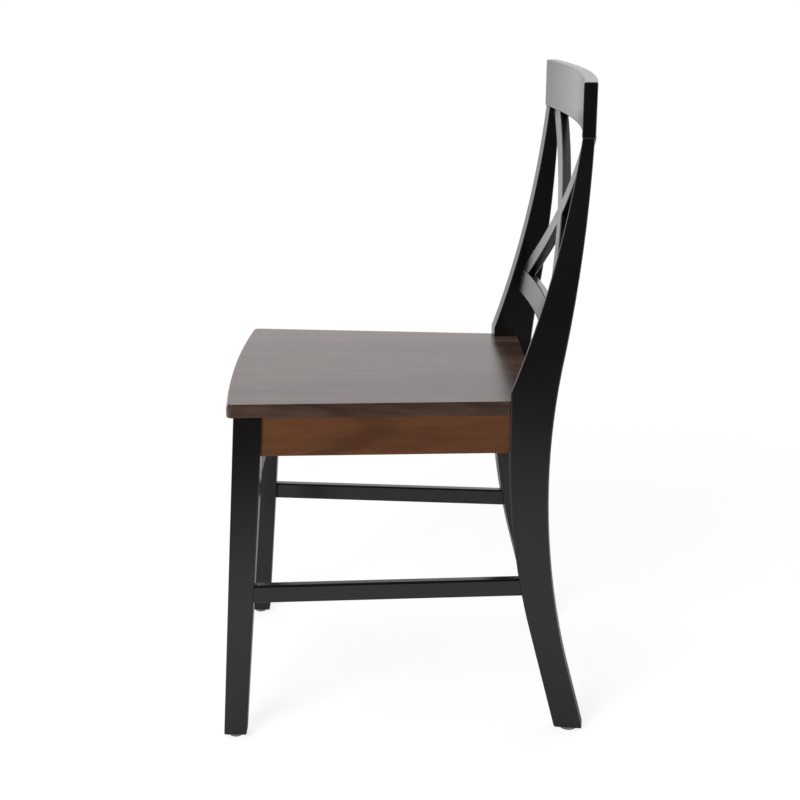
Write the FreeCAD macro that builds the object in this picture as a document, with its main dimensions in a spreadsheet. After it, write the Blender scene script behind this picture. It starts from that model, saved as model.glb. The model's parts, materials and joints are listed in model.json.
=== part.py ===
import FreeCAD, Part
import math
import os
import types

import Sketcher

# A wooden dining chair: tapered front legs, sabre-shaped rear legs that run up to carry a bowed crest rail,
# two bowed slats that cross in a half lap, four aprons, side stretchers and a solid board seat.
# Millimetres, +Z up, the sitter faces -Y, the sitter's left is +X, the origin is on the floor below the
# middle of the chair.

SIZES = {
    # whole chair, and the gaps left round tenons, dowels and screws
    "overall_height": 863,
    "overall_depth": 483.2,
    "seat_height": 460,
    "glide_height": 4,
    "fit_clearance": 0.1,
    "end_clearance": 1,
    # seat board
    "seat_thickness": 18,
    "seat_front_half_width": 211,
    "seat_rear_half_width": 188,
    "seat_corner_y": -229.5,
    "seat_front_bow": 9,
    "seat_back_y": 167.5,
    "seat_corner_radius": 9,
    "seat_bevel_drop": 6.5,
    "seat_bevel_inset": 2,
    "seat_bottom_round": 2,
    "seat_clearance": 0.5,
    # front legs, square in section at the aprons and tapered below them on the inner and rear sides
    "front_leg_top_outer": 210,
    "front_leg_top_width": 36,
    "front_leg_top_y": -221,
    "front_leg_top_depth": 36,
    "front_leg_taper_high": 349,
    "front_leg_foot_outer": 216.5,
    "front_leg_foot_width": 23,
    "front_leg_foot_depth": 30,
    # rear legs, sawn to a sabre shape from one plank and turned in a little towards the sitter
    "rear_leg_x": 191.7,
    "rear_leg_y": 130.2,
    "rear_leg_toe": 8,
    "rear_leg_thickness": 24,
    "rear_foot_front": 69.4,
    "rear_foot_back": 107.4,
    "rear_foot_tuck": 12,
    "front_sweep_height": 150,
    "front_sweep": 31,
    "front_sweep_end": 404,
    "front_sweep_radius": 1024,
    "knee_height": 472,
    "post_front_radius": 1407,
    "post_top_front": 77.7,
    "post_top_back": 92.5,
    "post_top_flare": 18,
    "post_flare_radius": 17500,
    "post_back_radius": 2015,
    "back_bend_height": 530,
    "back_bend": 67.9,
    "back_sweep_radius": 1027,
    "back_sweep_height": 100,
    "back_sweep": 81.7,
    # crest rail, bowed away from the sitter
    "crest_half_width": 224,
    "crest_height": 67,
    "crest_thickness": 17,
    "crest_end_y": 203.4,
    "crest_bow_radius": 1484,
    # lower back rail, bowed and leaning back with the posts
    "rail_height": 33,
    "rail_thickness": 13,
    "rail_base_z": 528,
    "rail_base_y": 178,
    "rail_lean": 14,
    "rail_bow_radius": 1096,
    "rail_tenon_thickness": 6,
    "rail_tenon_height": 13,
    "rail_tenon_low": 3,
    "rail_tenon_length": 8,
    # crossed slats
    "slat_width": 28,
    "slat_thickness": 12.5,
    "slat_bow_radius": 1950,
    "slat_top_half_span": 169.5,
    "slat_top_setback": 2.2,
    "slat_bottom_half_span": 161,
    "slat_tenon_width": 16,
    "slat_tenon_thickness": 6,
    "slat_tenon_length": 12,
    # aprons, the front one deeper than the others
    "apron_height": 51,
    "front_apron_height": 83,
    "apron_thickness": 18,
    "side_apron_front_outer": 206,
    "side_apron_rear_outer": 187,
    "front_apron_setback": 14.4,
    "rear_apron_y": 148,
    # side stretchers
    "stretcher_z": 191.5,
    "stretcher_height": 24,
    "stretcher_thickness": 14,
    "stretcher_front_outer": 210.5,
    "stretcher_rear_outer": 185.5,
    "stretcher_tenon_thickness": 7,
    "stretcher_tenon_height": 15,
    "stretcher_tenon_length": 12,
    # corner blocks
    "block_height": 40,
    "block_leg": 62,
    "block_notch_gap": 2,
    # dowels
    "dowel_radius": 4,
    "dowel_reach": 14,
    "dowel_low": 12,
    "dowel_high": 36,
    "crest_dowel_radius": 3,
    "crest_dowel_reach": 22,
    "crest_dowel_spacing": 10,
    # wood screws
    "screw_radius": 2,
    "screw_head_radius": 4,
    "screw_head_height": 2.5,
    "screw_point": 4,
    "screw_slot_depth": 1.2,
    "block_screw_length": 32,
    "block_screw_seat": 20,
    "block_screw_inset": 27,
    "seat_screw_length": 51,
    "seat_screw_inset": 15,
    # nail-on glides
    "front_glide_radius": 9,
    "rear_glide_radius": 12,
    "glide_rim": 1,
    "nail_radius": 1.25,
    "nail_length": 13,
}

OPERATIONS = {
    "+": lambda a, b: a + b,
    "-": lambda a, b: a - b,
    "*": lambda a, b: a * b,
    "/": lambda a, b: a / b,
}


class Size:
    """A number together with the sheet formula that gives it."""

    def __init__(self, value, formula=None):
        self.value = float(value)
        self.formula = formula or repr(float(value))

    def join(self, other, sign, swap=False):
        first, second = self, as_size(other)
        if swap:
            first, second = second, first
        value = OPERATIONS[sign](first.value, second.value)
        return Size(value, "(%s %s %s)" % (first.formula, sign, second.formula))

    def __add__(self, other):
        return self.join(other, "+")

    def __radd__(self, other):
        return self.join(other, "+", True)

    def __sub__(self, other):
        return self.join(other, "-")

    def __rsub__(self, other):
        return self.join(other, "-", True)

    def __mul__(self, other):
        return self.join(other, "*")

    def __rmul__(self, other):
        return self.join(other, "*", True)

    def __truediv__(self, other):
        return self.join(other, "/")

    def __neg__(self):
        return self.join(0, "-", True)


def as_size(number):
    return number if isinstance(number, Size) else Size(number)


def cosine(angle):
    return Size(math.cos(math.radians(angle.value)), "cos(%s * 1 deg)" % angle.formula)


def sine(angle):
    return Size(math.sin(math.radians(angle.value)), "sin(%s * 1 deg)" % angle.formula)


doc = FreeCAD.newDocument("Chair")
sheet = doc.addObject("Spreadsheet::Sheet", "Sizes")
for row, (name, number) in enumerate(SIZES.items(), start=1):
    sheet.set("A%d" % row, name)
    sheet.set("B%d" % row, str(number))
    sheet.setAlias("B%d" % row, name)
doc.recompute()
size = types.SimpleNamespace(**{name: Size(number, "Sizes." + name) for name, number in SIZES.items()})

ALONG_X = FreeCAD.Rotation(FreeCAD.Vector(0, 1, 0), 90)
AGAINST_X = FreeCAD.Rotation(FreeCAD.Vector(0, 1, 0), -90)
ALONG_Y = FreeCAD.Rotation(FreeCAD.Vector(1, 0, 0), -90)
AGAINST_Y = FreeCAD.Rotation(FreeCAD.Vector(1, 0, 0), 90)
ALONG_Z = FreeCAD.Rotation()
UPRIGHT = FreeCAD.Vector(0, 0, 1)


# Building helpers

def bind(target, path, number):
    """Ties a property of an object to a size."""
    target.setExpression(path, as_size(number).formula)


def place(target, x, y, z, rotation=ALONG_Z):
    target.Placement = FreeCAD.Placement(FreeCAD.Vector(0, 0, 0), rotation)
    bind(target, "Placement.Base.x", x)
    bind(target, "Placement.Base.y", y)
    bind(target, "Placement.Base.z", z)


def turn(target, axis, angle):
    """Turns an object about one of its axes by a bound angle."""
    target.Placement.Rotation = FreeCAD.Rotation(axis, angle.value)
    bind(target, "Placement.Rotation.Angle", angle)
    return target


def arc_between(start, end, radius):
    """The short arc from start to end: its middle lies right of the way for a positive radius."""
    half = (end - start) * 0.5
    across = FreeCAD.Vector(-half.y, half.x, 0).normalize()
    depth = math.sqrt(radius ** 2 - half.Length ** 2)
    side = 1 if radius > 0 else -1
    centre = start + half + across * depth * side
    first, last = (start, end) if side > 0 else (end, start)
    angles = [math.atan2(point.y - centre.y, point.x - centre.x) for point in (first, last)]
    return Part.ArcOfCircle(Part.Circle(centre, UPRIGHT, abs(radius)), angles[0], angles[1]), side


def outline(body, role, corners, offset=0):
    """A closed sketch on an origin plane. A corner is (x, y), or (x, y, radius) where an arc leaves it."""
    sketch = body.newObject("Sketcher::SketchObject", body.Name + "Outline")
    plane = [feature for feature in body.Origin.OriginFeatures if feature.Role == role][0]
    sketch.AttachmentSupport = [(plane, "")]
    sketch.MapMode = "FlatFace"
    bind(sketch, "AttachmentOffset.Base.z", offset)
    spots = [[as_size(number) for number in corner[:2]] for corner in corners]
    points = [FreeCAD.Vector(x.value, y.value, 0) for x, y in spots]
    ends = []
    for index, corner in enumerate(corners):
        start = points[index]
        end = points[(index + 1) % len(points)]
        if len(corner) == 3:
            curve, side = arc_between(start, end, corner[2].value)
            sketch.addGeometry(curve, False)
            ends.append((1, 2) if side > 0 else (2, 1))
        else:
            sketch.addGeometry(Part.LineSegment(start, end), False)
            ends.append((1, 2))
    for index, (x, y) in enumerate(spots):
        before = index - 1 if index else len(spots) - 1
        joint = Sketcher.Constraint("Coincident", before, ends[before][1], index, ends[index][0])
        sketch.addConstraint(joint)
        for kind, number in (("DistanceX", x), ("DistanceY", y)):
            rule = Sketcher.Constraint(kind, -1, 1, index, ends[index][0], number.value)
            bind(sketch, "Constraints[%d]" % sketch.addConstraint(rule), number)
    for index, corner in enumerate(corners):
        if len(corner) == 3:
            radius = corner[2] if corner[2].value > 0 else -corner[2]
            rule = sketch.addConstraint(Sketcher.Constraint("Radius", index, radius.value))
            bind(sketch, "Constraints[%d]" % rule, radius)
    return sketch


def slab(label, role, corners, low, high):
    """A body of one outline, padded square to its plane from low to high."""
    body = doc.addObject("PartDesign::Body", label)
    sketch = outline(body, role, corners, low)
    pad = body.newObject("PartDesign::Pad", body.Name + "Pad")
    pad.Profile = sketch
    bind(pad, "Length", as_size(high) - low)
    return body


def plan_slab(label, corners, low, high):
    return slab(label, "XY_Plane", corners, low, high)


def revolved(label, corners):
    """A body turned about the vertical axis from half of its section."""
    body = doc.addObject("PartDesign::Body", label)
    sketch = outline(body, "XZ_Plane", corners)
    turned = body.newObject("PartDesign::Revolution", body.Name + "Turned")
    turned.Profile = sketch
    turned.ReferenceAxis = (sketch, ["V_Axis"])
    turned.Angle = 360
    return body


def peg(spot, radius, length):
    """A round peg: spot is its start (x, y, z) and the way that it runs."""
    x, y, z, way = spot
    cylinder = doc.addObject("Part::Cylinder", "Peg")
    bind(cylinder, "Radius", radius)
    bind(cylinder, "Height", length)
    place(cylinder, x, y, z, way)
    return cylinder


def joined(label, pieces):
    union = doc.addObject("Part::MultiFuse", label)
    union.Shapes = pieces
    return union


def together(label, pieces):
    """Several separate solids in one sub-part."""
    group = doc.addObject("Part::Compound", label)
    group.Links = pieces
    return group


def less(label, base, tools):
    """The base with every tool cut away."""
    cut = doc.addObject("Part::Cut", label)
    cut.Base = base
    cut.Tool = tools[0] if len(tools) == 1 else joined(label + "Tools", tools)
    return cut


def mirrored(label, source):
    copy = doc.addObject("Part::Mirroring", label)
    copy.Source = source
    copy.Normal = FreeCAD.Vector(1, 0, 0)
    return copy


def both_sides(pieces):
    return pieces + [mirrored(piece.Name + "Mirror", piece) for piece in pieces]


def crossing(x_at_front, x_at_rear, y):
    """X at a given Y on a line that runs from the front legs to the rear legs."""
    share = (y - side_front_y) / (size.rear_leg_y - side_front_y)
    return x_at_front + share * (x_at_rear - x_at_front)


# Heights and places that several pieces share

seat_underside = size.seat_height - size.seat_thickness
apron_low = seat_underside - size.apron_height
front_apron_low = seat_underside - size.front_apron_height
crest_low = size.overall_height - size.crest_height
foot_front_y = -size.overall_depth / 2
foot_back_y = foot_front_y + size.front_leg_foot_depth
side_front_y = size.front_leg_top_y + size.front_leg_top_depth
taper_share = (size.front_leg_taper_high - size.glide_height) / (seat_underside - size.glide_height)
taper_front_y = foot_front_y + taper_share * (size.front_leg_top_y - foot_front_y)
taper_back_y = taper_front_y + size.front_leg_top_depth
taper_outer = size.front_leg_foot_outer + taper_share * (size.front_leg_top_outer - size.front_leg_foot_outer)
front_apron_y = size.front_leg_top_y + size.front_apron_setback
front_apron_inner_y = front_apron_y + size.apron_thickness
toe_cos = cosine(size.rear_leg_toe)
toe_sin = sine(size.rear_leg_toe)


def on_rear_leg(across, along):
    """Chair X and Y of a spot given across and along the turned rear leg plank."""
    x = size.rear_leg_x + across * toe_cos + along * toe_sin
    y = size.rear_leg_y - across * toe_sin + along * toe_cos
    return x, y


# Legs before their joints are cut

def leg_length(label, low, high, below, above):
    """A length of the front leg between two sections given as (outer face, width, front face, depth)."""
    block = doc.addObject("Part::Wedge", label)
    bind(block, "Ymin", low)
    bind(block, "Ymax", high)
    for mark, (outer, width, front, depth) in (("", below), ("2", above)):
        bind(block, "X%smin" % mark, outer - width)
        bind(block, "X%smax" % mark, outer)
        bind(block, "Z%smin" % mark, -(front + depth))
        bind(block, "Z%smax" % mark, -front)
    block.Placement = FreeCAD.Placement(FreeCAD.Vector(0, 0, 0), AGAINST_Y)
    return block


def front_leg_blank():
    """A straight post that leans out a little, tapered from below the aprons to the foot."""
    foot = (size.front_leg_foot_outer, size.front_leg_foot_width, foot_front_y, size.front_leg_foot_depth)
    bend = (taper_outer, size.front_leg_top_width, taper_front_y, size.front_leg_top_depth)
    top = (size.front_leg_top_outer, size.front_leg_top_width, size.front_leg_top_y, size.front_leg_top_depth)
    lower = leg_length("FrontLegTaper", size.glide_height, size.front_leg_taper_high, foot, bend)
    upper = leg_length("FrontLegTop", size.front_leg_taper_high, seat_underside, bend, top)
    leg = joined("FrontLegBlank", [lower, upper])
    leg.Refine = True
    return leg


def rear_leg_blank():
    """The sabre shape seen from the side, kept to the flared thickness seen from the front."""
    side = slab("RearLegSide", "YZ_Plane", [
        (size.rear_foot_front, size.glide_height),
        (size.rear_foot_back, size.glide_height),
        (size.back_sweep, size.back_sweep_height, -size.back_sweep_radius),
        (size.back_bend, size.back_bend_height, size.post_back_radius),
        (size.post_top_back, crest_low),
        (size.post_top_front, crest_low, -size.post_front_radius),
        (0, size.knee_height),
        (0, size.front_sweep_end, size.front_sweep_radius),
        (size.front_sweep, size.front_sweep_height),
    ], -2 * size.rear_leg_thickness - size.rear_foot_tuck, 2 * size.post_top_flare)
    band = slab("RearLegBand", "XZ_Plane", [
        (-size.rear_foot_tuck, size.glide_height, -size.post_flare_radius),
        (size.post_top_flare, crest_low),
        (size.post_top_flare - size.rear_leg_thickness, crest_low, size.post_flare_radius),
        (-size.rear_foot_tuck - size.rear_leg_thickness, size.glide_height),
    ], -2 * size.rear_foot_back, 2 * size.rear_foot_back)
    leg = doc.addObject("Part::MultiCommon", "RearLegBlank")
    leg.Shapes = [side, band]
    place(leg, size.rear_leg_x, size.rear_leg_y, 0)
    return turn(leg, UPRIGHT, -size.rear_leg_toe)


front_leg = front_leg_blank()
rear_leg = rear_leg_blank()


# Crest rail and lower back rail before their joints are cut

def bowed_plan(half_width, end_y, thickness, radius):
    """Plan of a rail that bows towards +Y between square ends."""
    return [
        (-half_width, end_y, -radius),
        (half_width, end_y),
        (half_width, end_y + thickness, radius),
        (-half_width, end_y + thickness),
    ]


def bow_depth(half_width, radius):
    """How far the middle of a bowed piece stands behind its ends."""
    depth = math.sqrt(radius.value ** 2 - half_width.value ** 2)
    formula = "(%s - sqrt(%s ^ 2 - %s ^ 2))" % (radius.formula, radius.formula, half_width.formula)
    return Size(radius.value - depth, formula)


def lean_with_posts(piece):
    place(piece, 0, size.rail_base_y, size.rail_base_z)
    return turn(piece, FreeCAD.Vector(1, 0, 0), -size.rail_lean)


crest_plan = bowed_plan(size.crest_half_width, size.crest_end_y, size.crest_thickness, size.crest_bow_radius)
crest = plan_slab("CrestBlank", crest_plan, crest_low, size.overall_height)
rail_half_width = size.rear_leg_x - size.rear_leg_thickness / 2
rail_end_y = -bow_depth(rail_half_width, size.rail_bow_radius)
rail_plan = bowed_plan(rail_half_width, rail_end_y, size.rail_thickness, size.rail_bow_radius)
rail = lean_with_posts(plan_slab("RailBlank", rail_plan, 0, size.rail_height))


def rail_tenon(label, gap, end_gap):
    """The tongue at the rail's end that enters the post, grown by the gaps where it is cut out."""
    middle = rail_end_y + size.rail_thickness / 2
    reach = rail_half_width + size.rail_tenon_length + end_gap
    start = rail_half_width - size.rail_thickness
    half = size.rail_tenon_thickness / 2 + gap
    low = size.rail_tenon_low - gap
    high = size.rail_tenon_low + size.rail_tenon_height + gap
    tongue = plan_slab(label, [
        (start, middle - half),
        (reach, middle - half),
        (reach, middle + half),
        (start, middle + half),
    ], low, high)
    return lean_with_posts(tongue)


# Crossed slats

def slat_bar(label, side, front, back, width, extra):
    """A bowed bar on the line of one slat: front and back are measured from the middle of its thickness."""
    lean_sin = sine(size.rail_lean)
    lean_cos = cosine(size.rail_lean)
    bottom_x = size.slat_bottom_half_span
    top_x = size.slat_top_half_span
    rail_mid_y = size.rail_base_y + size.rail_height * lean_sin + size.rail_thickness / 2
    bottom_y = rail_mid_y - bow_depth(bottom_x, size.rail_bow_radius)
    crest_bow = bow_depth(size.crest_half_width, size.crest_bow_radius)
    crest_mid_y = size.crest_end_y + crest_bow + size.crest_thickness / 2
    top_y = crest_mid_y - bow_depth(top_x, size.crest_bow_radius) + size.slat_top_setback
    bottom_z = size.rail_base_z + size.rail_height * lean_cos
    bottom = FreeCAD.Vector(side * bottom_x.value, bottom_y.value, bottom_z.value)
    top = FreeCAD.Vector(-side * top_x.value, top_y.value, crest_low.value)
    length = (top - bottom).Length
    half = Size(length / 2) + extra
    bow = size.slat_bow_radius
    drop = bow_depth(Size(length / 2), bow) - bow_depth(half, bow)
    bar = plan_slab(label, [
        (-half, drop + front, -bow),
        (half, drop + front),
        (half, drop + back, bow),
        (-half, drop + back),
    ], -width / 2, width / 2)
    along = (top - bottom).normalize()
    bulge = FreeCAD.Vector(0, top.z - bottom.z, bottom.y - top.y).normalize()
    matrix = FreeCAD.Matrix(
        along.x, bulge.x, along.cross(bulge).x, 0,
        along.y, bulge.y, along.cross(bulge).y, 0,
        along.z, bulge.z, along.cross(bulge).z, 0,
        0, 0, 0, 1)
    bar.Placement = FreeCAD.Placement((top + bottom) * 0.5, FreeCAD.Placement(matrix).Rotation)
    return bar


def slat_tenons(label, side, gap, end_gap):
    half = size.slat_tenon_thickness / 2 + gap
    reach = size.slat_tenon_length + end_gap
    return slat_bar(label, side, -half, half, size.slat_tenon_width + 2 * gap, reach)


def slat_blank(label, side):
    """The part of the bar that shows, between the lower rail's top, the crest's underside and the posts."""
    half = size.slat_thickness / 2
    bar = slat_bar(label + "Bar", side, -half, half, size.slat_width, 2 * size.slat_tenon_length)
    reach = size.crest_half_width
    front = size.rear_leg_y
    back = size.overall_depth
    above = plan_slab(label + "Above", [(-reach, front), (reach, front), (reach, back), (-reach, back)],
                      crest_low, size.overall_height)
    depth = size.overall_depth / 2
    below = plan_slab(label + "Below", [(-reach, -depth), (reach, -depth), (reach, depth), (-reach, depth)],
                      -size.rail_height, size.rail_height)
    return less(label + "Trimmed", bar, [above, lean_with_posts(below)] + both_sides([rear_leg]))


def lap_half(label, side, way):
    """Half of one slat's thickness with some room round it: the front half for -1, the rear half for 1."""
    front, back = sorted((way * size.slat_thickness, Size(0)), key=lambda depth: depth.value)
    return slat_bar(label, side, front, back, size.slat_width + 2 * size.fit_clearance, Size(0))


def slat(label, side, rooms):
    """One slat with its tenons, less what its partner takes at the crossing."""
    blank = slat_blank(label + "Blank", side)
    tenons = slat_tenons(label + "Tenons", side, Size(0), Size(0))
    piece = joined(label + "Whole", [blank, tenons])
    for count, room in enumerate(rooms[:-1], start=1):
        piece = less("%sLap%d" % (label, count), piece, [room])
    return less(label, piece, rooms[-1:])


under_slat = slat("cross_slat_under", -1, [lap_half("OverSlatLap", 1, -1)])
over_slat = slat("cross_slat_over", 1, [lap_half("UnderSlatLap", -1, 1), under_slat])


# Aprons and stretchers: each blank runs a little into the legs and is trimmed to their faces

def side_bar(label, front_outer, rear_outer, inset, width, start, end, low, high):
    """A bar along the side: its outer face follows the line from the front leg to the rear leg."""
    outer_start = crossing(front_outer, rear_outer, start) - inset
    outer_end = crossing(front_outer, rear_outer, end) - inset
    return plan_slab(label, [
        (outer_start - width, start),
        (outer_start, start),
        (outer_end, end),
        (outer_end - width, end),
    ], low, high)


def cross_bar(label, half_length, start, low):
    return plan_slab(label, [
        (-half_length, start),
        (half_length, start),
        (half_length, start + size.apron_thickness),
        (-half_length, start + size.apron_thickness),
    ], low, seat_underside)


def stretcher_bar(label, inset, width, reach, low, high):
    """A bar on the stretcher's line that runs into both legs by the reach."""
    middle = size.stretcher_z + size.stretcher_height / 2
    share = (middle - size.glide_height) / (size.front_leg_taper_high - size.glide_height)
    start = foot_back_y + share * (taper_back_y - foot_back_y) - reach
    drop = size.front_sweep_end - middle
    end = size.rear_leg_y + drop * drop / (2 * size.front_sweep_radius) + reach
    front_outer = size.stretcher_front_outer
    rear_outer = size.stretcher_rear_outer
    return side_bar(label, front_outer, rear_outer, inset, width, start, end, low, high)


def stretcher_tongue(label, gap, end_gap):
    inset = (size.stretcher_thickness - size.stretcher_tenon_thickness) / 2 - gap
    width = size.stretcher_tenon_thickness + 2 * gap
    low = size.stretcher_z + (size.stretcher_height - size.stretcher_tenon_height) / 2 - gap
    high = low + size.stretcher_tenon_height + 2 * gap
    return stretcher_bar(label, inset, width, size.stretcher_tenon_length + end_gap, low, high)


stretcher_high = size.stretcher_z + size.stretcher_height
stretcher_reach = size.stretcher_tenon_length / 2
stretcher_blank = stretcher_bar("StretcherBlank", 0, size.stretcher_thickness, stretcher_reach,
                                size.stretcher_z, stretcher_high)
stretcher_shoulders = less("StretcherShoulders", stretcher_blank, [front_leg, rear_leg])
stretcher_tenons = stretcher_tongue("StretcherTenons", Size(0), Size(0))
left_stretcher = joined("left_side_stretcher", [stretcher_shoulders, stretcher_tenons])

rear_inner_x, rear_inner_y = on_rear_leg(-size.rear_leg_thickness, 0)
apron_reach = rear_inner_y - size.rear_leg_y + size.end_clearance
front_inner_x = size.front_leg_top_outer - size.front_leg_top_width
side_apron_blank = side_bar("SideApronBlank", size.side_apron_front_outer, size.side_apron_rear_outer, 0,
                            size.apron_thickness, side_front_y - apron_reach, size.rear_leg_y + apron_reach,
                            apron_low, seat_underside)
front_apron_blank = cross_bar("FrontApronBlank", front_inner_x + apron_reach, front_apron_y, front_apron_low)
rear_apron_blank = cross_bar("RearApronBlank", rear_inner_x + apron_reach, size.rear_apron_y, apron_low)


def side_inner(y):
    """X of the side apron's inner face at a given Y."""
    return crossing(size.side_apron_front_outer, size.side_apron_rear_outer, y) - size.apron_thickness


# Dowels: each spot is the dowel's start and the way that it runs

dowel_high = apron_low + size.dowel_high
dowel_levels = [apron_low + size.dowel_low, dowel_high]
front_dowel_levels = [front_apron_low + size.dowel_low, dowel_high]
side_middle_front = side_inner(side_front_y) + size.apron_thickness / 2
side_middle_rear = side_inner(size.rear_leg_y) + size.apron_thickness / 2
front_apron_middle = front_apron_y + size.apron_thickness / 2
rear_apron_middle = size.rear_apron_y + size.apron_thickness / 2
rear_face_x = rear_inner_x + (rear_apron_middle - rear_inner_y) * toe_sin / toe_cos


def dowel_spots(ends, end_gap):
    """Spots for joints given as (joint x, joint y, way, dowel heights)."""
    spots = []
    reach = size.dowel_reach + end_gap
    for x, y, way, levels in ends:
        for level in levels:
            if way is ALONG_X:
                spots.append((x - reach, y, level, way))
            else:
                spots.append((x, y - reach, level, way))
    return spots


def dowels_at(ends, gap, end_gap):
    length = 2 * (size.dowel_reach + end_gap)
    return [peg(spot, size.dowel_radius + gap, length) for spot in dowel_spots(ends, end_gap)]


def crest_dowels(gap, end_gap):
    across = size.post_top_flare - size.rear_leg_thickness / 2
    along = (size.post_top_front + size.post_top_back) / 2
    reach = size.crest_dowel_reach + end_gap
    pegs = []
    for side in (-1, 1):
        x, y = on_rear_leg(across + side * size.crest_dowel_spacing / 2, along)
        pegs.append(peg((x, y, crest_low - reach, ALONG_Z), size.crest_dowel_radius + gap, 2 * reach))
    return pegs


side_front_joint = [(side_middle_front, side_front_y, ALONG_Y, dowel_levels)]
side_rear_joint = [(side_middle_rear, size.rear_leg_y, ALONG_Y, dowel_levels)]
front_joint = [(front_inner_x, front_apron_middle, ALONG_X, front_dowel_levels)]
rear_joint = [(rear_face_x, rear_apron_middle, ALONG_X, dowel_levels)]
side_dowels = together("side_apron_dowels", both_sides(dowels_at(side_front_joint + side_rear_joint, 0, 0)))
front_dowels = together("front_apron_dowels", both_sides(dowels_at(front_joint, 0, 0)))
rear_dowels = together("rear_apron_dowels", both_sides(dowels_at(rear_joint, 0, 0)))
post_dowels = together("crest_dowels", both_sides(crest_dowels(0, 0)))


# Corner blocks and the screws through them

def corner_block(label, notch_x, notch_y, apron_face, way):
    """A glue block in the corner of two aprons, notched round the leg: way is 1 in front and -1 behind."""
    far_y = notch_y + way * size.block_leg
    corners = [
        (notch_x, apron_face),
        (notch_x - size.block_leg, apron_face),
        (side_inner(far_y), far_y),
        (side_inner(notch_y), notch_y),
        (notch_x, notch_y),
    ]
    return plan_slab(label, corners, seat_underside - size.block_height, seat_underside)


def screw(label, length, gap, mouth):
    """A countersunk wood screw pointing up, or the hole for one with a mouth above its head."""
    head = size.screw_head_radius + gap
    shank = size.screw_radius + gap
    if mouth.value:
        top = [(0, -mouth), (head, -mouth), (head, gap)]
    else:
        top = [(0, size.screw_slot_depth), (size.screw_slot_depth, 0), (head, 0)]
    return revolved(label, top + [
        (shank, size.screw_head_height + gap),
        (shank, length - size.screw_point),
        (0, length),
    ])


def copies(label, source, spots):
    """Copies of one solid at several places, kept together in one sub-part."""
    doc.recompute()
    shapes = []
    for x, y, z, way in spots:
        shape = source.Shape.copy()
        shape.Placement = FreeCAD.Placement(FreeCAD.Vector(x.value, y.value, z.value), way)
        shapes.append(shape)
    group = doc.addObject("Part::Feature", label)
    group.Shape = Part.makeCompound(shapes)
    return group


def mirror_spots(spots):
    """The same spots on the other side of the chair."""
    return [(-x, y, z, AGAINST_X if way is ALONG_X else way) for x, y, z, way in spots]


notch_gap = size.block_notch_gap
front_notch_x = front_inner_x - notch_gap
front_notch_y = side_front_y + notch_gap
rear_notch_x = rear_inner_x - notch_gap
rear_notch_y = size.rear_leg_y - notch_gap
block_low = seat_underside - size.block_height
block_middle = seat_underside - size.block_height / 2
front_block = corner_block("FrontBlockBlank", front_notch_x, front_notch_y, front_apron_inner_y, 1)
rear_block = corner_block("RearBlockBlank", rear_notch_x, rear_notch_y, size.rear_apron_y, -1)


def block_screw_spots(notch_x, notch_y, apron_face, way):
    """Heads of the two screws of one block: one enters the cross apron and one the side apron."""
    side_y = notch_y + way * size.block_screw_inset
    run = AGAINST_Y if way > 0 else ALONG_Y
    return [
        (notch_x - size.block_screw_inset, apron_face + way * size.block_screw_seat, block_middle, run),
        (side_inner(side_y) - size.block_screw_seat, side_y, block_middle, ALONG_X),
    ]


def seat_screw_spot(notch_x, notch_y, way):
    return notch_x - size.seat_screw_inset, notch_y + way * size.seat_screw_inset, block_low, ALONG_Z


gap = size.fit_clearance
end_gap = size.end_clearance
block_screw = screw("BlockScrew", size.block_screw_length, Size(0), Size(0))
seat_screw = screw("SeatScrew", size.seat_screw_length, Size(0), Size(0))
block_screw_hole = screw("BlockScrewHole", size.block_screw_length + end_gap, gap, size.block_leg / 2)
seat_screw_hole = screw("SeatScrewHole", size.seat_screw_length + end_gap, gap, end_gap)
left_block_spots = block_screw_spots(front_notch_x, front_notch_y, front_apron_inner_y, 1)
left_block_spots += block_screw_spots(rear_notch_x, rear_notch_y, size.rear_apron_y, -1)
left_seat_spots = [
    seat_screw_spot(front_notch_x, front_notch_y, 1),
    seat_screw_spot(rear_notch_x, rear_notch_y, -1),
]
block_screws = copies("corner_block_screws", block_screw, left_block_spots + mirror_spots(left_block_spots))
seat_screws = copies("seat_screws", seat_screw, left_seat_spots + mirror_spots(left_seat_spots))
block_holes = copies("BlockScrewHoles", block_screw_hole, left_block_spots + mirror_spots(left_block_spots))
seat_holes = copies("SeatScrewHoles", seat_screw_hole, left_seat_spots + mirror_spots(left_seat_spots))


# Glides: a domed steel cap with a nail, below each foot

def glide(label, radius, x, y):
    piece = revolved(label, [
        (0, 0),
        (radius - size.glide_rim, 0),
        (radius, size.glide_rim),
        (radius, size.glide_height),
        (size.nail_radius, size.glide_height),
        (size.nail_radius, size.glide_height + size.nail_length - size.nail_radius),
        (0, size.glide_height + size.nail_length),
    ])
    place(piece, x, y, 0)
    return piece


def nail_hole(x, y):
    spot = (x, y, size.glide_height, ALONG_Z)
    return peg(spot, size.nail_radius + gap, size.nail_length + end_gap)


front_foot_x = size.front_leg_foot_outer - size.front_leg_foot_width / 2
front_foot_y = foot_front_y + size.front_leg_foot_depth / 2
rear_foot_across = -(size.rear_foot_tuck + size.rear_leg_thickness / 2)
rear_foot_x, rear_foot_y = on_rear_leg(rear_foot_across, (size.rear_foot_front + size.rear_foot_back) / 2)
front_glide = glide("front_left_glide", size.front_glide_radius, front_foot_x, front_foot_y)
rear_glide = glide("rear_left_glide", size.rear_glide_radius, rear_foot_x, rear_foot_y)


# Pieces with their joints cut

def edges_where(shape, test):
    """Names of the edges whose two ends pass a test."""
    names = []
    for number, edge in enumerate(shape.Edges, start=1):
        if test(edge.valueAt(edge.FirstParameter), edge.valueAt(edge.LastParameter)):
            names.append("Edge%d" % number)
    return names


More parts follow.
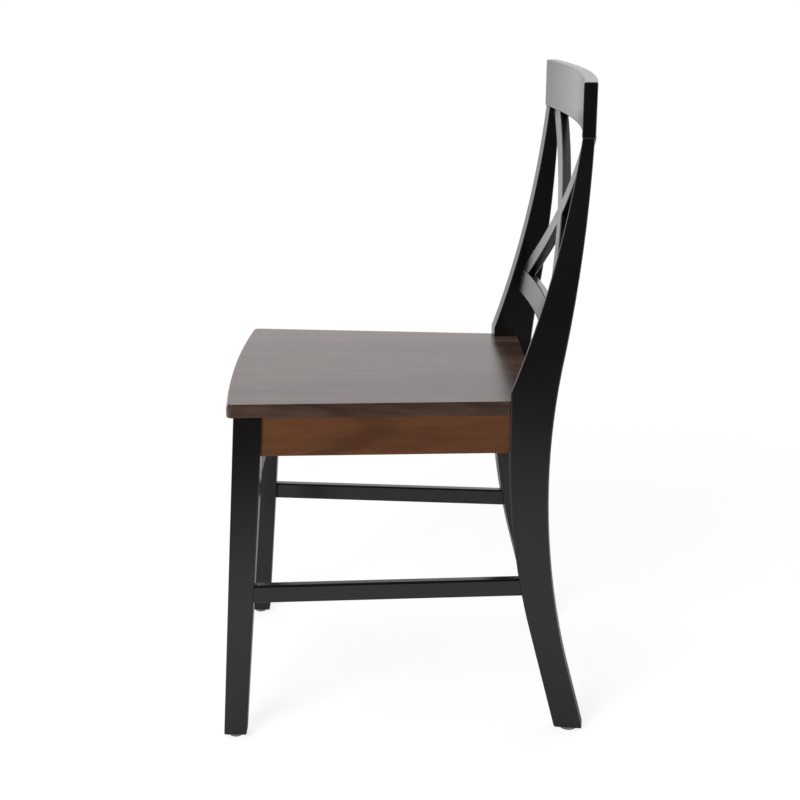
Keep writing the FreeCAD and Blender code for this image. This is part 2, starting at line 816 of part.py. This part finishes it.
def rounded(body, radius, test):
    """Rounds the body's edges that pass a test."""
    doc.recompute()
    base = body.Tip
    fillet = body.newObject("PartDesign::Fillet", body.Name + "Round")
    fillet.Base = (base, edges_where(base.Shape, test))
    bind(fillet, "Radius", radius)
    return body


def bevelled(body, drop, inset, test):
    """Bevels the body's upper edges that pass a test: by the drop down the side, by the inset on the top."""
    doc.recompute()
    base = body.Tip
    bevel = body.newObject("PartDesign::Chamfer", body.Name + "Bevel")
    bevel.Base = (base, edges_where(base.Shape, test))
    bevel.ChamferType = "Two distances"
    bind(bevel, "Size", drop)
    bind(bevel, "Size2", inset)
    return body


def seat_board():
    """A flat board with a bowed front edge, notched round the rear legs."""
    front = size.seat_front_half_width
    rear = size.seat_rear_half_width
    back = size.seat_back_y
    leg_face_y = size.rear_leg_y + (size.rear_leg_x - rear) * toe_sin / toe_cos
    rear_y = leg_face_y - size.seat_clearance / toe_cos
    notch, notch_y = on_rear_leg(-size.rear_leg_thickness - size.seat_clearance, -size.seat_clearance)
    back_x = notch + (back - notch_y) * toe_sin / toe_cos
    bow = (front * front + size.seat_front_bow * size.seat_front_bow) / (2 * size.seat_front_bow)
    board = plan_slab("SeatBoard", [
        (-front, size.seat_corner_y, bow),
        (front, size.seat_corner_y),
        (rear, rear_y),
        (notch, notch_y),
        (back_x, back),
        (-back_x, back),
        (-notch, notch_y),
        (-rear, rear_y),
    ], seat_underside, size.seat_height)
    corner_y = size.seat_corner_y.value
    middle = seat_underside.value + size.seat_thickness.value / 2

    def upright_corner(start, end):
        return max(start.y, end.y) < corner_y / 2 and (start.z - middle) * (end.z - middle) < 0

    def front_or_side(start, end):
        return min(start.y, end.y) < corner_y / 2

    def top_rim(start, end):
        return min(start.z, end.z) > middle and front_or_side(start, end)

    def bottom_rim(start, end):
        return max(start.z, end.z) < middle and front_or_side(start, end)

    rounded(board, size.seat_corner_radius, upright_corner)
    bevelled(board, size.seat_bevel_drop, size.seat_bevel_inset, top_rim)
    rounded(board, size.seat_bottom_round, bottom_rim)
    return less("seat", board, [seat_holes])


seat = seat_board()


def leg_holes(side_joint, cross_joint, foot):
    """Holes for the apron dowels, the stretcher tenon and the glide's nail."""
    dowel_holes = dowels_at(side_joint + cross_joint, gap, end_gap)
    return dowel_holes + [stretcher_tongue("StretcherMortise", gap, end_gap), nail_hole(*foot)]


front_leg_holes = leg_holes(side_front_joint, front_joint, (front_foot_x, front_foot_y))
rear_leg_holes = leg_holes(side_rear_joint, rear_joint, (rear_foot_x, rear_foot_y))
rear_leg_holes += crest_dowels(gap, end_gap) + [rail_tenon("RailMortise", gap, end_gap)]
front_left_leg = less("front_left_leg", front_leg, front_leg_holes)
rear_left_leg = less("rear_left_leg", rear_leg, rear_leg_holes)

side_holes = dowels_at(side_front_joint + side_rear_joint, gap, end_gap)
left_side_apron = less("left_side_apron", side_apron_blank, [front_leg, rear_leg, block_holes] + side_holes)
front_legs = both_sides([front_leg])
rear_legs = both_sides([rear_leg])
front_apron_holes = both_sides(dowels_at(front_joint, gap, end_gap))
rear_apron_holes = both_sides(dowels_at(rear_joint, gap, end_gap))
front_apron = less("front_apron", front_apron_blank, front_legs + [block_holes] + front_apron_holes)
rear_apron = less("rear_apron", rear_apron_blank, rear_legs + [block_holes] + rear_apron_holes)
front_left_block = less("front_left_corner_block", front_block, [block_holes, seat_holes])
rear_left_block = less("rear_left_corner_block", rear_block, [block_holes, seat_holes])

slat_mortises = [slat_tenons("SlatMortises", side, gap, end_gap) for side in (-1, 1)]
crest_holes = both_sides(crest_dowels(gap, end_gap))
crest_drilled = less("CrestDrilled", crest, crest_holes + slat_mortises[:1])
crest_rail = less("crest_rail", crest_drilled, slat_mortises[1:])
rail_shoulders = less("RailShoulders", rail, rear_legs)
rail_tenons = both_sides([rail_tenon("RailTenon", Size(0), Size(0))])
rail_whole = joined("RailWhole", [rail_shoulders] + rail_tenons)
rail_mortised = less("RailMortised", rail_whole, slat_mortises[:1])
lower_back_rail = less("lower_back_rail", rail_mortised, slat_mortises[1:])

left_pieces = [
    front_left_leg,
    rear_left_leg,
    left_side_apron,
    left_stretcher,
    front_left_block,
    rear_left_block,
    front_glide,
    rear_glide,
]
right_pieces = [mirrored(piece.Name.replace("left", "right"), piece) for piece in left_pieces]
middle_pieces = [
    seat,
    front_apron,
    rear_apron,
    crest_rail,
    lower_back_rail,
    under_slat,
    over_slat,
    side_dowels,
    front_dowels,
    rear_dowels,
    post_dowels,
    block_screws,
    seat_screws,
]


# Check every object, then write one file for each sub-part

doc.recompute()
failed = [item.Name for item in doc.Objects if "Invalid" in item.State or "Error" in item.State]
sub_parts = middle_pieces + left_pieces + right_pieces
failed += [item.Name for item in sub_parts if item.Shape.isNull() or not item.Shape.isValid()]
if failed:
    raise SystemExit("these objects failed: " + ", ".join(failed))
os.makedirs("parts", exist_ok=True)
for item in sub_parts:
    item.Shape.exportStep("parts/%s.step" % item.Label)
    print("%-26s %d solids, %.1f cm3" % (item.Label, len(item.Shape.Solids), item.Shape.Volume / 1000))
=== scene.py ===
import json
import math

import bmesh
import bpy
from mathutils import Matrix, Vector
from mathutils.bvhtree import BVHTree

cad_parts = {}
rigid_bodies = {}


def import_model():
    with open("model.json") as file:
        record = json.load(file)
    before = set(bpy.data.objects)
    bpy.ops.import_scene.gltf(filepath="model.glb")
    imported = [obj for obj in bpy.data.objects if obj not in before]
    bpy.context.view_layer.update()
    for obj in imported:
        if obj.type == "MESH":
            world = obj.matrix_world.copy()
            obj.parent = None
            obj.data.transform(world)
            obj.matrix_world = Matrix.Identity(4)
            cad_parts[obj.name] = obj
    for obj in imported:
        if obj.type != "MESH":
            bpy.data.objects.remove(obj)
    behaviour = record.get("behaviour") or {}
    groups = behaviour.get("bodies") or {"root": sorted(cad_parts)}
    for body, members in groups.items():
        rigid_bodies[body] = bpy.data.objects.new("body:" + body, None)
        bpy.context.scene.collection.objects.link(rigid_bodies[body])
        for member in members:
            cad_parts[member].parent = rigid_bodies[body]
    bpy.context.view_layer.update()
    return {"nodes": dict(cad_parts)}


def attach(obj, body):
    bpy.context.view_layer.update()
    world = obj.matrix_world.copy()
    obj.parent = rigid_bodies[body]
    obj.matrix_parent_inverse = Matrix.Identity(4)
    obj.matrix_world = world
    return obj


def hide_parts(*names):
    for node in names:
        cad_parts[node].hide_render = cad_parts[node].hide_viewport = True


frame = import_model()

# A dining chair with a black satin frame, brown stained aprons and a brown board seat.
# Metres, +Z up, the sitter faces -Y, the sitter's left is +X.

for spare in list(bpy.data.objects):
    if spare.type in {"CAMERA", "LIGHT"} or spare.name == "Cube":
        bpy.data.objects.remove(spare)


# Shader sums

# A Mix node's colour sockets go by number, because its number sockets have the same names.
MIX_SHARE, MIX_FIRST, MIX_SECOND, MIX_RESULT = 0, 6, 7, 2


class Signal:
    """A shader socket that takes part in sums: each operator adds a Math node."""

    def __init__(self, net, socket):
        self.net = net
        self.socket = socket

    def __add__(self, other):
        return self.net.maths("ADD", self, other)

    def __radd__(self, other):
        return self.net.maths("ADD", other, self)

    def __sub__(self, other):
        return self.net.maths("SUBTRACT", self, other)

    def __rsub__(self, other):
        return self.net.maths("SUBTRACT", other, self)

    def __mul__(self, other):
        return self.net.maths("MULTIPLY", self, other)

    def __rmul__(self, other):
        return self.net.maths("MULTIPLY", other, self)

    def __truediv__(self, other):
        return self.net.maths("DIVIDE", self, other)

    def __rtruediv__(self, other):
        return self.net.maths("DIVIDE", other, self)


class Net:
    """The nodes of one material or of the world."""

    def __init__(self, owner):
        owner.use_nodes = True
        self.owner = owner
        self.tree = owner.node_tree
        self.tree.nodes.clear()

    def add(self, kind, settings=None, sockets=None, output=0):
        """Adds a node: its settings first, then the values or links of its sockets."""
        node = self.tree.nodes.new(kind)
        for name, value in (settings or {}).items():
            if name == "stops":
                self.fill_ramp(node.color_ramp, value)
            else:
                setattr(node, name, value)
        for name, value in (sockets or {}).items():
            if isinstance(value, Signal):
                self.tree.links.new(value.socket, node.inputs[name])
            else:
                node.inputs[name].default_value = value
        return Signal(self, node.outputs[output]) if node.outputs else None

    def fill_ramp(self, ramp, stops):
        while len(ramp.elements) < len(stops):
            ramp.elements.new(0.5)
        for element, (place, colour) in zip(ramp.elements, stops):
            element.position = place
            element.color = (*colour, 1)

    def maths(self, operation, *values):
        return self.add("ShaderNodeMath", {"operation": operation}, dict(enumerate(values)))

    def mixed(self, share, first, second):
        """Blends two colours by a share."""
        sockets = {MIX_SHARE: share}
        for key, colour in ((MIX_FIRST, first), (MIX_SECOND, second)):
            sockets[key] = colour if isinstance(colour, Signal) else (*colour, 1)
        return self.add("ShaderNodeMix", {"data_type": "RGBA"}, sockets, MIX_RESULT)

    def between(self, value, low, high):
        """0 at the low value, 1 at the high value, smooth between them, flat beyond them."""
        return self.add("ShaderNodeMapRange", {"interpolation_type": "SMOOTHSTEP"}, {
            "Value": value, "From Min": low, "From Max": high,
        })

    def on_piece(self):
        """The place on a piece, in the frame's own metres."""
        return self.add("ShaderNodeTexCoord", output="Object")

    def along_grain(self, place, along):
        """Turns a place so that a piece's grain runs along X."""
        return self.add("ShaderNodeMapping", {}, {
            "Vector": place, "Rotation": GRAIN_ALONG[along],
        })

    def scaled(self, place, scale):
        return self.add("ShaderNodeMapping", {}, {"Vector": place, "Scale": scale})

    def axis(self, vector, name):
        return self.add("ShaderNodeSeparateXYZ", {}, {"Vector": vector}, name)

    def noise(self, place, scale, detail, roughness=0.5, distortion=0.0):
        """Noise with this many changes in a metre: one number, or one for each axis."""
        if isinstance(scale, tuple):
            place, scale = self.scaled(place, scale), 1.0
        return self.add("ShaderNodeTexNoise", {}, {
            "Vector": place, "Scale": scale, "Detail": detail,
            "Roughness": roughness, "Distortion": distortion,
        })

    def relief(self, height, strength, depth):
        return self.add("ShaderNodeBump", {}, {
            "Height": height, "Strength": strength, "Distance": depth,
        })

    def surface(self, sockets):
        """Ends the net in a shader with these sockets, and gives back the material."""
        shader = self.add("ShaderNodeBsdfPrincipled", {}, sockets)
        self.add("ShaderNodeOutputMaterial", {}, {"Surface": shader})
        return self.owner

    def matt(self, colour):
        return self.add("ShaderNodeBsdfDiffuse", {}, {"Color": colour})

    def glow(self, colour, strength=1.0):
        return self.add("ShaderNodeEmission", {}, {"Color": colour, "Strength": strength})

    def backdrop(self, colour):
        return self.add("ShaderNodeBackground", {}, {"Color": colour, "Strength": 1.0})

    def blend(self, share, first, second):
        """Blends two shaders by a share."""
        return self.add("ShaderNodeMixShader", {}, {0: share, 1: first, 2: second})

    def ray(self, kind):
        return self.add("ShaderNodeLightPath", output=kind)


def finish_net(name):
    return Net(bpy.data.materials.new(name))


# Finishes

# The turns that lay each grain along X. A slat rises by this angle across the chair.
SLAT_RISE = 0.622
GRAIN_ALONG = {
    "x": (0, 0, 0),
    "y": (0, 0, -math.pi / 2),
    "z": (0, math.pi / 2, 0),
    "rising_left": (0, SLAT_RISE, 0),
    "rising_right": (0, -SLAT_RISE, 0),
}

# Each scale is a pattern's changes in a metre, as one number or along and across the grain.
LACQUER_DARK = (0.0050, 0.0050, 0.0048)
LACQUER_LIGHT = (0.0085, 0.0083, 0.0080)
LACQUER_IN_PORES = (0.0030, 0.0029, 0.0028)
LACQUER_ROUGHNESS = 0.16
LACQUER_IOR = 1.70
LACQUER_PORE_SCALE = (18, 420, 420)
LACQUER_WAVE_SCALE = (3, 40, 40)
LACQUER_CLOUD_SCALE = 9.0
RELIEF_DEPTH = 0.0004

# Wood tones run from the darkest grain to the lightest.
SEAT_TONES = (
    (0.032, 0.017, 0.012), (0.076, 0.043, 0.032), (0.140, 0.083, 0.063), (0.240, 0.148, 0.113),
)
APRON_TONES = (
    (0.076, 0.025, 0.010), (0.150, 0.055, 0.020), (0.196, 0.074, 0.026), (0.250, 0.100, 0.038),
)
BARE_TONES = (
    (0.40, 0.26, 0.13), (0.50, 0.34, 0.19), (0.56, 0.40, 0.23), (0.62, 0.46, 0.28),
)
TONE_STOPS = (0.30, 0.45, 0.58, 0.76)
WOOD_IOR = 1.54
STREAK_SCALE = (2.2, 46, 46)
FIGURE_SCALE = (5, 16, 16)
PORE_SCALE = (30, 620, 620)
RING_SCALE = (1.5, 26, 26)
PATCH_SCALE = 7.0
SEAT_BOARD = 0.088
APRON_BOARD = 0.30
BARE_BOARD = 0.20
SEAM_WIDTH = 0.0012
# How far the pattern jumps from one board to the next, along the grain and through the wood
JUMP_ALONG = 0.7
JUMP_THROUGH = 0.31

ZINC = (0.62, 0.60, 0.52)
NICKEL = (0.58, 0.56, 0.52)
DULL_SHARE = 0.72
BRUSHING_SCALE = (60, 900, 900)
SPOT_SCALE = 160.0
STEEL_RELIEF_DEPTH = 0.0001


def lacquer(along):
    """Black satin lacquer over wood: the grain shows only as a faint relief."""
    net = finish_net("black_lacquer_" + along)
    place = net.on_piece()
    grain = net.along_grain(place, along)
    pores = net.noise(grain, LACQUER_PORE_SCALE, detail=4, roughness=0.6)
    waves = net.noise(grain, LACQUER_WAVE_SCALE, detail=3)
    cloud = net.noise(place, LACQUER_CLOUD_SCALE, detail=3)
    tone = net.mixed(net.between(cloud, low=0.35, high=0.7), LACQUER_DARK, LACQUER_LIGHT)
    in_pores = 0.35 * net.between(pores, low=0.55, high=0.8)
    tone = net.mixed(in_pores, tone, LACQUER_IN_PORES)
    return net.surface({
        "Base Color": tone,
        "Roughness": LACQUER_ROUGHNESS + 0.05 * cloud + 0.05 * pores,
        "Normal": net.relief(0.6 * waves + 0.4 * pores, strength=0.22, depth=RELIEF_DEPTH),
        "IOR": LACQUER_IOR,
    })


def stained_wood(name, along, tones, board_width, roughness):
    """Stained wood: boards of slightly different tone, long streaks, rings and fine pores."""
    net = finish_net(name)
    grain = net.along_grain(net.on_piece(), along)
    boards = net.axis(grain, "Y") / board_width + 0.5
    board = net.maths("FLOOR", boards)
    tint = net.add("ShaderNodeTexWhiteNoise", {"noise_dimensions": "1D"}, {"W": board})
    jump = net.add("ShaderNodeCombineXYZ", {}, {
        "X": JUMP_ALONG * board, "Z": JUMP_THROUGH * board,
    })
    own = net.add("ShaderNodeVectorMath", {"operation": "ADD"}, {0: grain, 1: jump})
    streaks = net.noise(own, STREAK_SCALE, detail=5, roughness=0.6, distortion=0.6)
    figure = net.noise(own, FIGURE_SCALE, detail=3, distortion=1.2)
    pores = net.noise(own, PORE_SCALE, detail=3, roughness=0.6)
    patches = net.noise(own, PATCH_SCALE, detail=2)
    rings = net.add("ShaderNodeTexWave", {"bands_direction": "Y"}, {
        "Vector": net.scaled(own, RING_SCALE), "Scale": 1.0,
        "Distortion": 5.0, "Detail": 2.0, "Detail Scale": 0.8,
    }, "Fac")
    off_middle = net.maths("ABSOLUTE", net.maths("FRACT", boards) - 0.5)
    seam = net.between(off_middle, 0.5 - SEAM_WIDTH / board_width, 0.5)
    colour = net.add("ShaderNodeValToRGB", {"stops": list(zip(TONE_STOPS, tones))}, {
        "Fac": 0.52 * streaks + 0.20 * figure + 0.22 * patches + 0.10 * tint,
    })
    ring_lines = 0.45 * net.between(rings, low=0.80, high=1.0)
    pore_lines = 0.5 * net.between(pores, low=0.56, high=0.78)
    for darkened in (ring_lines, pore_lines, 0.5 * seam):
        colour = net.mixed(darkened, colour, tones[0])
    height = 0.5 * pores + 0.35 * streaks - 0.8 * seam
    return net.surface({
        "Base Color": colour,
        "Roughness": roughness + 0.07 * streaks + 0.06 * pores,
        "Normal": net.relief(height, strength=0.25, depth=RELIEF_DEPTH),
        "IOR": WOOD_IOR,
    })


def steel(name, tone, roughness):
    """Plated steel with fine brushing and dull spots."""
    net = finish_net(name)
    place = net.on_piece()
    brushed = net.noise(place, BRUSHING_SCALE, detail=3, roughness=0.6)
    dull = net.noise(place, SPOT_SCALE, detail=3)
    darker = tuple(DULL_SHARE * part for part in tone)
    return net.surface({
        "Base Color": net.mixed(net.between(dull, low=0.45, high=0.72), tone, darker),
        "Roughness": roughness + 0.12 * dull + 0.08 * brushed,
        "Normal": net.relief(brushed, strength=0.15, depth=STEEL_RELIEF_DEPTH),
        "Metallic": 1.0,
    })


FINISH = {
    "seat": stained_wood("seat_stain", "y", SEAT_TONES, SEAT_BOARD, roughness=0.16),
    "apron_y": stained_wood(
        "apron_stain_lengthwise", "y", APRON_TONES, APRON_BOARD, roughness=0.30),
    "apron_x": stained_wood("apron_stain_across", "x", APRON_TONES, APRON_BOARD, roughness=0.34),
    "bare_x": stained_wood("bare_wood_across", "x", BARE_TONES, BARE_BOARD, roughness=0.55),
    "bare_y": stained_wood("bare_wood_lengthwise", "y", BARE_TONES, BARE_BOARD, roughness=0.55),
    "screw": steel("zinc_screw_steel", ZINC, roughness=0.28),
    "glide": steel("nickel_glide_steel", NICKEL, roughness=0.30),
}
for way in GRAIN_ALONG:
    FINISH["black_" + way] = lacquer(way)


# Pieces: CAD shapes whose outer edges are eased as a router leaves them

SAME_SPOT = 1e-6            # corners closer together than this are merged
FLAT = math.radians(0.1)    # faces that bend less than this become one
SHARP = math.radians(32)    # an edge sharper than this is rounded
SMOOTH = math.radians(36)   # an edge softer than this is shaded smooth
JOINT_GAP = 0.0004          # pieces closer together than this touch
RIM_STEP = 0.0015           # how far in from a rail's edge its two faces are tried
RAIL_WAY = 0.7              # an edge that points this much along X runs along the rail
LAP_REACH = 0.03            # the half lap lies this near to the chair's middle
LAP_MERGE = 0.0001          # a cut this near to a corner goes through the corner
LAP_SLANT = 0.3             # a lap's wall faces this much along X and this much along Z

surfaces = {
    name: BVHTree.FromPolygons(
        [vertex.co.copy() for vertex in node.data.vertices],
        [tuple(polygon.vertices) for polygon in node.data.polygons])
    for name, node in frame["nodes"].items()
}


def in_joint(node, point):
    """True where a point of one piece touches another piece."""
    return any(
        tree.find_nearest(point, JOINT_GAP)[0] is not None
        for name, tree in surfaces.items() if name != node
    )


def cut_at_lap(shell, node):
    """Splits a slat along its half lap's walls, so that its long edges stop at its partner."""
    walls = []
    for face in shell.faces:
        centre = face.calc_center_median()
        slanted = min(abs(face.normal.x), abs(face.normal.z)) > LAP_SLANT
        if abs(centre.x) < LAP_REACH and slanted and in_joint(node, centre):
            walls.append((centre, face.normal.copy()))
    for spot, way in walls:
        bmesh.ops.bisect_plane(
            shell, geom=shell.verts[:] + shell.edges[:] + shell.faces[:],
            plane_co=spot, plane_no=way, dist=LAP_MERGE)


def exposed(node, edge, rail):
    """True where an edge shows. A rail's long edge also shows where one of its faces is free."""
    first, second = (vertex.co for vertex in edge.verts)
    middle = (first + second) / 2
    spots = [middle]
    if rail and abs((second - first).normalized().x) > RAIL_WAY:
        spots = [middle + RIM_STEP * edge.calc_tangent(loop) for loop in edge.link_loops]
    return not all(in_joint(node, spot) for spot in spots)


def in_scene(shell, name, finish):
    """Makes a shell an object of the scene with its finish."""
    mesh = bpy.data.meshes.new(name)
    shell.to_mesh(mesh)
    shell.free()
    mesh.materials.append(finish)
    made = bpy.data.objects.new(name, mesh)
    bpy.context.scene.collection.objects.link(made)
    return made


def eased(node, radius, finish, segments=3, lapped=False, rail=False):
    """A merged copy of a CAD piece whose outer edges are rounded, which stands for the piece."""
    shell = bmesh.new()
    shell.from_mesh(frame["nodes"][node].data)
    bmesh.ops.remove_doubles(shell, verts=shell.verts, dist=SAME_SPOT)
    bmesh.ops.dissolve_limit(shell, angle_limit=FLAT, verts=shell.verts, edges=shell.edges)
    if lapped:
        cut_at_lap(shell, node)
    outer = [
        edge for edge in shell.edges
        if edge.is_manifold and edge.is_convex and edge.calc_face_angle(0) > SHARP
        and exposed(node, edge, rail)
    ]
    rounds = set(bmesh.ops.bevel(
        shell, geom=outer, offset=radius, offset_type="OFFSET", affect="EDGES",
        segments=segments, profile=0.5, material=-1, clamp_overlap=False,
        loop_slide=True)["faces"])
    for face in shell.faces:
        face.smooth = True
    for edge in shell.edges:
        one_kind = len({face in rounds for face in edge.link_faces}) == 1
        edge.smooth = one_kind and edge.calc_face_angle(math.pi) < SMOOTH
    piece = in_scene(shell, node + "_eased", FINISH[finish])
    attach(piece, "root")
    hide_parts(node)


for side in ("left", "right"):
    eased("front_%s_leg" % side, radius=0.0020, finish="black_z")
    eased("rear_%s_leg" % side, radius=0.0022, finish="black_z")
    eased("%s_side_stretcher" % side, radius=0.0025, finish="black_y")
    eased("%s_side_apron" % side, radius=0.0012, finish="apron_y")
for end in ("front", "rear"):
    eased(end + "_apron", radius=0.0012, finish="apron_x")
eased("crest_rail", radius=0.0026, finish="black_x",
      segments=4, rail=True)
eased("lower_back_rail", radius=0.0020, finish="black_x", rail=True)
for slat, rising in (("over", "left"), ("under", "right")):
    eased("cross_slat_" + slat, radius=0.0015, finish="black_rising_" + rising,
          lapped=True)

# CAD shapes that stay as they are and get their finish
KEPT = {
    "seat": "seat",
    "side_apron_dowels": "bare_y",
    "front_apron_dowels": "bare_x",
    "rear_apron_dowels": "bare_x",
    "crest_dowels": "bare_x",
    "corner_block_screws": "screw",
    "seat_screws": "screw",
}
for corner in ("front_left", "front_right", "rear_left", "rear_right"):
    KEPT[corner + "_corner_block"] = "bare_x"
    KEPT[corner + "_glide"] = "glide"
for name, finish in KEPT.items():
    node = frame["nodes"][name]
    node.data.materials.clear()
    node.data.materials.append(FINISH[finish])


# Floor, light and camera. The camera stands at +X, so X tells its side from the far side.

WHITE = (1, 1, 1, 1)
FLOOR_HALF = 12.0
FLOOR_NEAR = 0.6            # up to here the camera sees the shadow in full
FLOOR_FAR = 1.6             # from here on it sees plain white
FLOOR_SHADOW = (0.40, 0.40, 0.405, 1)
FLOOR_GLOW = 0.79
BOUNCE_FAR_SIDE = (0.72, 0.72, 0.72)
BOUNCE_CAMERA_SIDE = (0.10, 0.10, 0.10)
BOUNCE_FADES = (0.5, 1.5)   # metres along X
MIRRORED_FAR_SIDE = (1.0, 1.0, 1.0)
MIRRORED_CAMERA_SIDE = (0.05, 0.05, 0.05)
MIRRORED_FADES = (0.0, -0.35)   # the X of a direction
ROOM_CAMERA_SIDE = (0.12, 0.12, 0.12)
ROOM_FAR_SIDE = (0.65, 0.65, 0.65)
ROOM_FADES = (0.25, -0.45)      # the X of a direction
CHAIR_MIDDLE = Vector((0, 0, 0.4))


def pale_floor():
    """White to the camera, apart from the chair's soft shadow. Gloss mirrors it, and it bounces
    light, less on the camera's side."""
    net = finish_net("pale_floor")
    place = net.on_piece()
    distance = net.add("ShaderNodeVectorMath", {"operation": "LENGTH"}, {0: place}, "Value")
    fading = net.between(net.axis(place, "X"), *BOUNCE_FADES)
    open_floor = net.between(distance, FLOOR_NEAR, FLOOR_FAR)
    bounce = net.matt(net.mixed(fading, BOUNCE_FAR_SIDE, BOUNCE_CAMERA_SIDE))
    near = net.add("ShaderNodeAddShader", {}, {
        0: net.matt(FLOOR_SHADOW), 1: net.glow(WHITE, FLOOR_GLOW),
    })
    pale = net.blend(open_floor, near, net.glow(WHITE))
    sheen = net.glow(net.mixed(fading, MIRRORED_FAR_SIDE, MIRRORED_CAMERA_SIDE))
    reflected = net.blend(open_floor * net.ray("Is Glossy Ray"), bounce, sheen)
    both = net.blend(net.ray("Is Camera Ray"), reflected, pale)
    net.add("ShaderNodeOutputMaterial", {}, {"Surface": both})
    return net.owner


def floor():
    """One wide sheet under the feet."""
    sheet = bmesh.new()
    bmesh.ops.create_grid(sheet, x_segments=1, y_segments=1, size=FLOOR_HALF)
    plane = in_scene(sheet, "floor", pale_floor())


def studio():
    """White to the camera. The room that lights the chair is dimmer on the camera's side."""
    world = bpy.data.worlds.new("studio")
    bpy.context.scene.world = world
    net = Net(world)
    way = net.add("ShaderNodeTexCoord", output="Generated")
    towards = net.axis(way, "X")
    room = net.mixed(net.between(towards, *ROOM_FADES), ROOM_CAMERA_SIDE, ROOM_FAR_SIDE)
    sheen = net.mixed(
        net.between(towards, *MIRRORED_FADES), MIRRORED_CAMERA_SIDE, MIRRORED_FAR_SIDE)
    light = net.backdrop(net.mixed(net.ray("Is Glossy Ray"), room, sheen))
    both = net.blend(net.ray("Is Camera Ray"), light, net.backdrop(WHITE))
    net.add("ShaderNodeOutputWorld", {}, {"Surface": both})


def softbox(name, spot, width, power):
    """A square area lamp turned towards the chair, which gloss doesn't mirror."""
    lamp = bpy.data.lights.new(name, "AREA")
    lamp.shape = "SQUARE"
    lamp.size = width
    lamp.energy = power
    holder = bpy.data.objects.new(name, lamp)
    holder.location = spot
    way = CHAIR_MIDDLE - Vector(spot)
    holder.rotation_euler = way.to_track_quat("-Z", "Y").to_euler()
    holder.visible_glossy = False
    bpy.context.scene.collection.objects.link(holder)


floor()
studio()
softbox("overhead_softbox", (0.3, -0.4, 2.6), width=2.2, power=7)
softbox("side_softbox", (2.7, -1.6, 1.9), width=1.6, power=64)

FRAME_PIXELS = 800
FOCAL_PIXELS = 1530.1
SHIFT_PIXELS = (-1.3, -9.0)
SENSOR = 36
FURTHEST_SEEN = 60
CAMERA_SPOT = Vector((2.0583, -0.0270, 0.9960))
CAMERA_YAW = 0.0097
CAMERA_PITCH = 0.2724
CAMERA_ROLL = 0.0081


def camera():
    """The camera stands on the sitter's left, looking slightly down."""
    lens = bpy.data.cameras.new("camera")
    lens.sensor_width = SENSOR
    lens.lens = SENSOR * FOCAL_PIXELS / FRAME_PIXELS
    lens.shift_x, lens.shift_y = (pixels / FRAME_PIXELS for pixels in SHIFT_PIXELS)
    lens.clip_end = FURTHEST_SEEN
    ahead = Vector((-math.cos(CAMERA_YAW), math.sin(CAMERA_YAW), 0))
    right = Vector((math.sin(CAMERA_YAW), math.cos(CAMERA_YAW), 0))
    upright = Vector((0, 0, 1))
    forward = math.cos(CAMERA_PITCH) * ahead - math.sin(CAMERA_PITCH) * upright
    top = math.sin(CAMERA_PITCH) * ahead + math.cos(CAMERA_PITCH) * upright
    side = math.cos(CAMERA_ROLL) * right + math.sin(CAMERA_ROLL) * top
    top = -math.sin(CAMERA_ROLL) * right + math.cos(CAMERA_ROLL) * top
    turn = Matrix((side, top, -forward)).transposed()
    holder = bpy.data.objects.new("camera", lens)
    holder.matrix_world = Matrix.Translation(CAMERA_SPOT) @ turn.to_4x4()
    bpy.context.scene.collection.objects.link(holder)
    bpy.context.scene.camera = holder


camera()
bpy.context.scene.view_settings.view_transform = "Standard"
